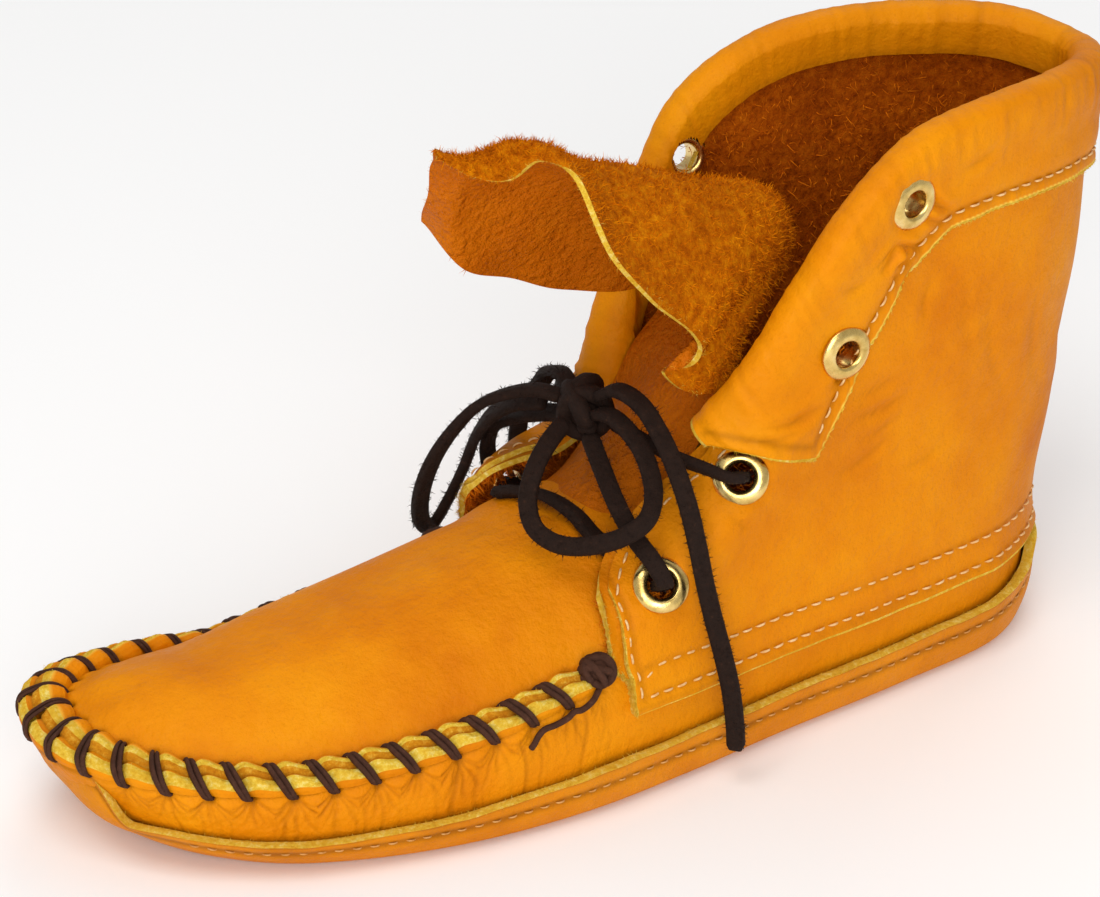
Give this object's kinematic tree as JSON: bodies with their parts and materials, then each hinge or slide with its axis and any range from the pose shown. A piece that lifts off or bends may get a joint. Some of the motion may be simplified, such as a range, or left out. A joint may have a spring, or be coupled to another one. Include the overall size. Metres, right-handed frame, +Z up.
{
  "type": "mukluk boot",
  "caption": "Soft ankle-high moccasin boot with a gathered toe seam, folded cuff, brass eyelets, tied lace and a tongue flopped forward",
  "frame": {"origin": "on the floor under the middle of the sole's length, where the boot rests", "axes": "+X towards the toe, +Y towards the outer side of the left foot, +Z up out of the collar"},
  "size_m": [0.2845, 0.1061, 0.1538],
  "materials": {
    "upper_leather": "satin, smooth-grained full leather",
    "cuff_leather": "satin, padded and finely wrinkled",
    "tongue_leather": "suede on the face turned up, smooth grain on the other",
    "sole_leather": "matt oiled moccasin leather",
    "suede_lining": "rough suede",
    "lace_cord": "matt waxed cord",
    "eyelet_brass": "polished"
  },
  "bodies": {
    "root": {"sole": "sole_leather", "insole": "suede_lining", "upper": "upper_leather", "cuff": "cuff_leather", "tongue": "tongue_leather", "eyelet_outer_1": "eyelet_brass", "eyelet_outer_2": "eyelet_brass", "eyelet_outer_3": "eyelet_brass", "eyelet_outer_4": "eyelet_brass", "eyelet_inner_1": "eyelet_brass", "eyelet_inner_2": "eyelet_brass", "eyelet_inner_3": "eyelet_brass", "eyelet_inner_4": "eyelet_brass", "lace_bar": "lace_cord", "lace_rise_outer": "lace_cord", "lace_rise_inner": "lace_cord", "lace_cross_outer": "lace_cord", "lace_cross_inner": "lace_cord", "lace_knot": "lace_cord", "lace_loop_outer": "lace_cord", "lace_loop_inner": "lace_cord", "lace_end_outer": "lace_cord", "lace_end_inner": "lace_cord"}
  },
  "joints": []
}
